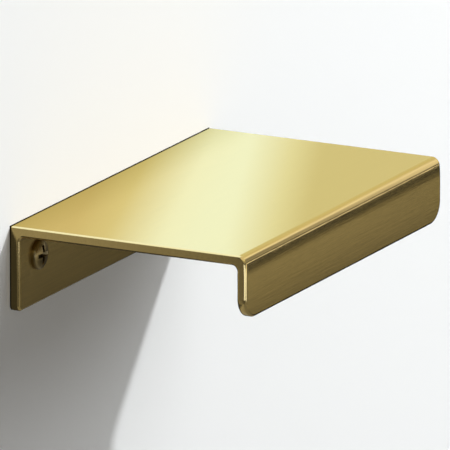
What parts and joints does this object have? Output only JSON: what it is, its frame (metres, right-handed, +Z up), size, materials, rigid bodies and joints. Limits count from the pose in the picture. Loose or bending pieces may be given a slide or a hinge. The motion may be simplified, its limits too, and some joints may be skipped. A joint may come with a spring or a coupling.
{
  "type": "tab pull",
  "caption": "C-shaped satin brass pull with a screwed wall flange, a flat top plate and a short lip that fingers hook behind.",
  "frame": {"origin": "middle of the flange's back face, which lies on the wall or door", "axes": "+X along the pull, +Y into the wall out of the flange's back face, +Z up; the finger side is towards -Y"},
  "size_m": [0.1, 0.0736, 0.02],
  "materials": {
    "pull_brass": "satin, brushed along its length",
    "screw_brass": "satin"
  },
  "bodies": {
    "root": {"pull_body": "pull_brass", "screw_left": "screw_brass", "screw_right": "screw_brass"}
  },
  "joints": []
}
